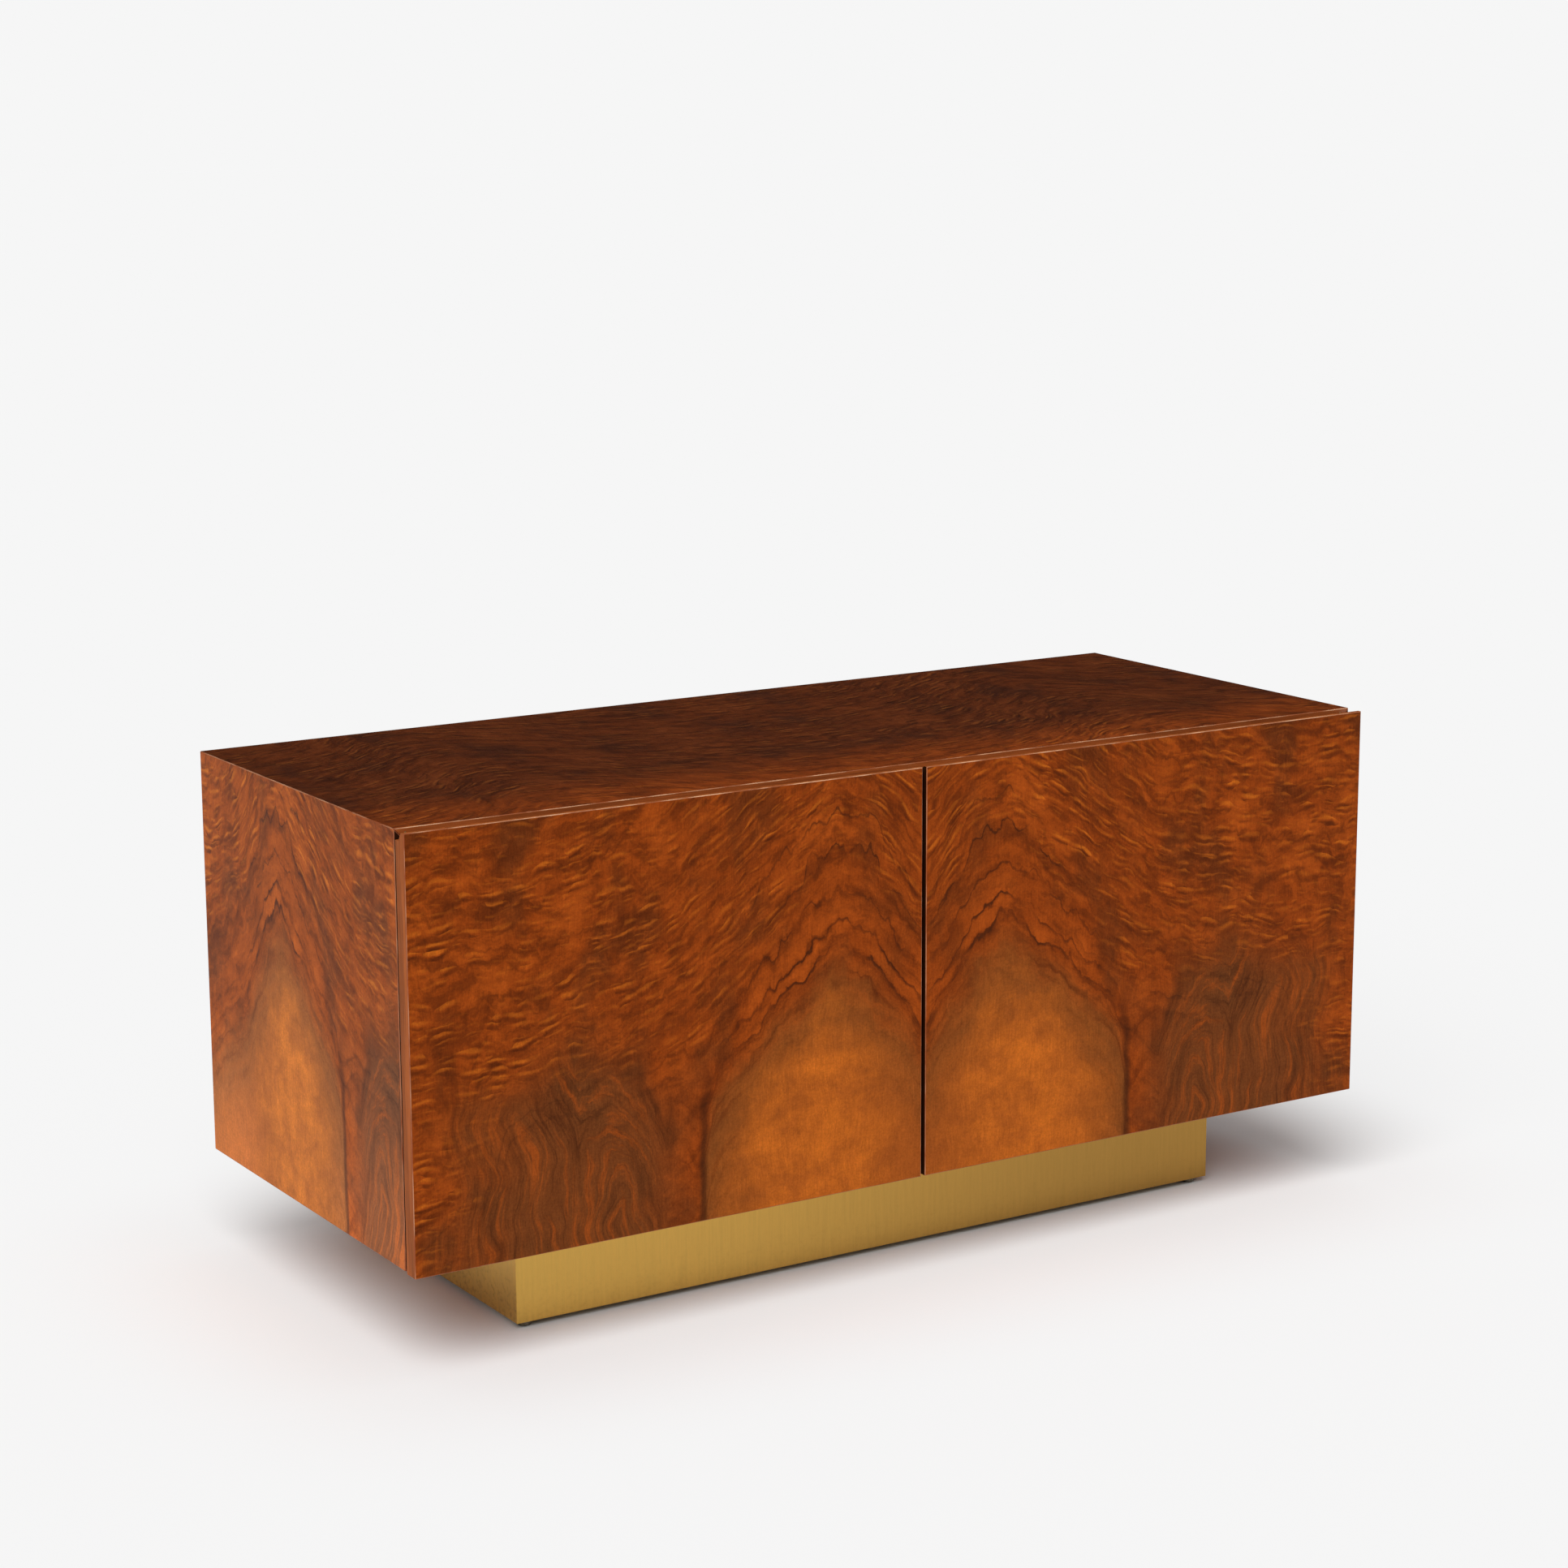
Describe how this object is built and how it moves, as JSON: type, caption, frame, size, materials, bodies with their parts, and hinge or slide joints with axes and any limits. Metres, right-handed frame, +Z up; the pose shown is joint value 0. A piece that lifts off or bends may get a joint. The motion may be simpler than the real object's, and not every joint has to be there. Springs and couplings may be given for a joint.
{
  "type": "low cabinet",
  "caption": "Low walnut cabinet: mitred case, overlay doors with coved finger pulls on concealed cup hinges, inner shelves and a recessed brass-clad plinth on glides",
  "frame": {"origin": "on the floor, in the middle of the outer box", "axes": "+X to the right seen from the front, +Y to the back, +Z up"},
  "size_m": [1.219, 0.504, 0.562],
  "materials": {
    "walnut_veneer": "satin",
    "inner_wood": "satin",
    "back_ply": "matte",
    "frame_wood": "matte",
    "brass_sheet": "satin",
    "catch_plastic": "matte",
    "ferrite": "matte",
    "bumper_rubber": "satin",
    "plated_steel": "satin"
  },
  "bodies": {
    "case": {"top_board": "walnut_veneer", "bottom_board": "walnut_veneer", "left_side_board": "walnut_veneer", "right_side_board": "walnut_veneer", "mitre_splines": "frame_wood", "centre_partition": "inner_wood", "back_panel": "back_ply", "back_screws": "plated_steel", "left_shelf": "inner_wood", "left_shelf_pegs": "plated_steel", "left_hinge_arms": "plated_steel", "left_hinge_arm_pins": "plated_steel", "left_hinge_plates": "plated_steel", "left_hinge_plate_screws": "plated_steel", "right_shelf": "inner_wood", "right_shelf_pegs": "plated_steel", "right_hinge_arms": "plated_steel", "right_hinge_arm_pins": "plated_steel", "right_hinge_plates": "plated_steel", "right_hinge_plate_screws": "plated_steel", "catch_housings": "catch_plastic", "catch_magnets": "ferrite", "catch_poles": "plated_steel", "catch_screws": "plated_steel", "plinth_front_rail": "frame_wood", "plinth_back_rail": "frame_wood", "plinth_left_rail": "frame_wood", "plinth_cross_rail": "frame_wood", "plinth_right_rail": "frame_wood", "plinth_front_brass": "brass_sheet", "plinth_left_brass": "brass_sheet", "plinth_right_brass": "brass_sheet", "plinth_corner_blocks": "frame_wood", "plinth_screws": "plated_steel", "glide_caps": "plated_steel", "glide_nails": "plated_steel"},
    "left_outer_links": {"left_hinge_outer_links": "plated_steel"},
    "left_inner_links": {"left_hinge_inner_links": "plated_steel"},
    "left_door": {"left_door": "walnut_veneer", "left_door_bumpers": "bumper_rubber", "left_hinge_cups": "plated_steel", "left_hinge_cup_pins": "plated_steel", "left_hinge_cup_screws": "plated_steel", "left_strike_plate": "plated_steel", "left_strike_screw": "plated_steel"},
    "right_outer_links": {"right_hinge_outer_links": "plated_steel"},
    "right_inner_links": {"right_hinge_inner_links": "plated_steel"},
    "right_door": {"right_door": "walnut_veneer", "right_door_bumpers": "bumper_rubber", "right_hinge_cups": "plated_steel", "right_hinge_cup_pins": "plated_steel", "right_hinge_cup_screws": "plated_steel", "right_strike_plate": "plated_steel", "right_strike_screw": "plated_steel"}
  },
  "joints": [
    {"name": "left_door_swing", "type": "hinge", "parent": "case", "child": "left_outer_links", "pos_m": [-0.5595, -0.2045, 0.3365], "axis": [0, 0, 1], "range_deg": [0, 22.39]},
    {"name": "left_cup_pivot", "type": "hinge", "parent": "left_outer_links", "child": "left_door", "pos_m": [-0.5983, -0.2346, 0.3365], "axis": [0, 0, -1], "range_deg": [0, 112.39]},
    {"name": "left_inner_link_turn", "type": "hinge", "parent": "case", "child": "left_inner_links", "pos_m": [-0.5795, -0.23585, 0.3365], "axis": [0, 0, 1], "range_deg": [0, 45.22]},
    {"name": "right_door_swing", "type": "hinge", "parent": "case", "child": "right_outer_links", "pos_m": [0.5595, -0.2045, 0.3365], "axis": [0, 0, -1], "range_deg": [0, 22.39]},
    {"name": "right_cup_pivot", "type": "hinge", "parent": "right_outer_links", "child": "right_door", "pos_m": [0.5983, -0.2346, 0.3365], "axis": [0, 0, 1], "range_deg": [0, 112.39]},
    {"name": "right_inner_link_turn", "type": "hinge", "parent": "case", "child": "right_inner_links", "pos_m": [0.5795, -0.23585, 0.3365], "axis": [0, 0, -1], "range_deg": [0, 45.22]}
  ],
  "couplings": [
    {"joint": "left_cup_pivot", "follows": "left_door_swing", "ratio": 5.02},
    {"joint": "left_inner_link_turn", "follows": "left_door_swing", "ratio": 2.02},
    {"joint": "right_cup_pivot", "follows": "right_door_swing", "ratio": 5.02},
    {"joint": "right_inner_link_turn", "follows": "right_door_swing", "ratio": 2.02}
  ]
}
